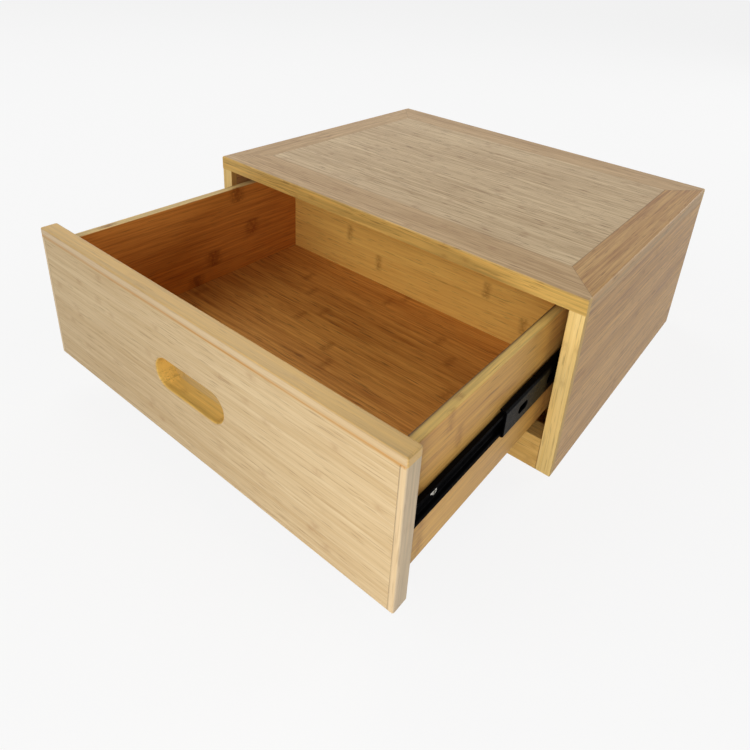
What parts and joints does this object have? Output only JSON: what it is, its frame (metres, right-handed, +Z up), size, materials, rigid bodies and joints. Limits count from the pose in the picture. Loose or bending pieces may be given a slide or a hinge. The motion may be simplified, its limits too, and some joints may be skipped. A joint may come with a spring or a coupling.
{
  "type": "drawer box",
  "caption": "Low bamboo tabletop drawer box: an open-fronted cabinet with a framed top and an inset drawer with a finger slot, on ball-bearing slides.",
  "frame": {"origin": "centre of the cabinet's footprint, on its underside", "axes": "+X to the right as seen from the front, +Y from the drawer front to the back, +Z up"},
  "size_m": [0.4, 0.5022, 0.167],
  "materials": {
    "top_field": "satin lacquered bamboo, narrow laminated strips",
    "top_border": "satin lacquered bamboo, browner strips",
    "cabinet_side": "satin lacquered bamboo",
    "side_lipping": "satin lacquered bamboo, upright grain",
    "rail": "satin lacquered bamboo",
    "cabinet_inside": "plain sanded bamboo",
    "back_board": "plain sanded bamboo board",
    "drawer_front": "satin lacquered bamboo, wide strips with knuckle marks",
    "front_lipping": "satin lacquered bamboo strip",
    "drawer_board": "plain sanded bamboo",
    "drawer_floor": "plain sanded bamboo board",
    "dowel": "plain beech",
    "slide_steel": "glossy black electro-coated steel",
    "bearing_ball": "polished bearing steel",
    "ball_retainer": "bright zinc-plated strip",
    "screw": "bright nickel plate",
    "buffer": "matt black plastic"
  },
  "bodies": {
    "cabinet": {"top_panel": "top_field", "top_left_border": "top_border", "top_right_border": "top_border", "top_front_border": "top_border", "top_back_border": "top_border", "left_side": "cabinet_side", "right_side": "cabinet_side", "left_side_lipping": "side_lipping", "right_side_lipping": "side_lipping", "front_rail": "rail", "bottom_board": "cabinet_inside", "back_panel": "back_board", "back_screws": "screw", "top_dowels": "dowel", "rail_dowels": "dowel", "bottom_dowels": "dowel", "left_cabinet_member": "slide_steel", "right_cabinet_member": "slide_steel", "cabinet_slide_screws": "screw", "left_rear_buffer": "buffer", "right_rear_buffer": "buffer"},
    "drawer": {"drawer_front": "drawer_front", "front_top_lipping": "front_lipping", "front_left_lipping": "front_lipping", "front_right_lipping": "front_lipping", "drawer_inner_front": "drawer_board", "drawer_left_side": "drawer_board", "drawer_right_side": "drawer_board", "drawer_back": "drawer_board", "drawer_bottom": "drawer_floor", "front_screws": "screw", "drawer_front_dowels": "dowel", "drawer_back_dowels": "dowel", "left_drawer_member": "slide_steel", "right_drawer_member": "slide_steel", "drawer_slide_screws": "screw"},
    "left_intermediate": {"left_intermediate_member": "slide_steel"},
    "left_outer_cage": {"left_outer_retainers": "ball_retainer", "left_outer_balls": "bearing_ball"},
    "left_inner_cage": {"left_inner_retainers": "ball_retainer", "left_inner_balls": "bearing_ball"},
    "right_intermediate": {"right_intermediate_member": "slide_steel"},
    "right_outer_cage": {"right_outer_retainers": "ball_retainer", "right_outer_balls": "bearing_ball"},
    "right_inner_cage": {"right_inner_retainers": "ball_retainer", "right_inner_balls": "bearing_ball"}
  },
  "joints": [
    {"name": "drawer_slide", "type": "slide", "parent": "cabinet", "child": "drawer", "axis": [0, -1, 0], "range_m": [-0.1892, 0.0608]},
    {"name": "left_intermediate_slide", "type": "slide", "parent": "cabinet", "child": "left_intermediate", "axis": [0, -1, 0], "range_m": [-0.0946, 0.0304]},
    {"name": "left_outer_cage_slide", "type": "slide", "parent": "cabinet", "child": "left_outer_cage", "axis": [0, -1, 0], "range_m": [-0.0473, 0.0152]},
    {"name": "left_inner_cage_slide", "type": "slide", "parent": "cabinet", "child": "left_inner_cage", "axis": [0, -1, 0], "range_m": [-0.1419, 0.0456]},
    {"name": "right_intermediate_slide", "type": "slide", "parent": "cabinet", "child": "right_intermediate", "axis": [0, -1, 0], "range_m": [-0.0946, 0.0304]},
    {"name": "right_outer_cage_slide", "type": "slide", "parent": "cabinet", "child": "right_outer_cage", "axis": [0, -1, 0], "range_m": [-0.0473, 0.0152]},
    {"name": "right_inner_cage_slide", "type": "slide", "parent": "cabinet", "child": "right_inner_cage", "axis": [0, -1, 0], "range_m": [-0.1419, 0.0456]}
  ],
  "couplings": [
    {"joint": "left_intermediate_slide", "follows": "drawer_slide", "ratio": 0.5},
    {"joint": "left_outer_cage_slide", "follows": "drawer_slide", "ratio": 0.25},
    {"joint": "left_inner_cage_slide", "follows": "drawer_slide", "ratio": 0.75},
    {"joint": "right_intermediate_slide", "follows": "drawer_slide", "ratio": 0.5},
    {"joint": "right_outer_cage_slide", "follows": "drawer_slide", "ratio": 0.25},
    {"joint": "right_inner_cage_slide", "follows": "drawer_slide", "ratio": 0.75}
  ]
}
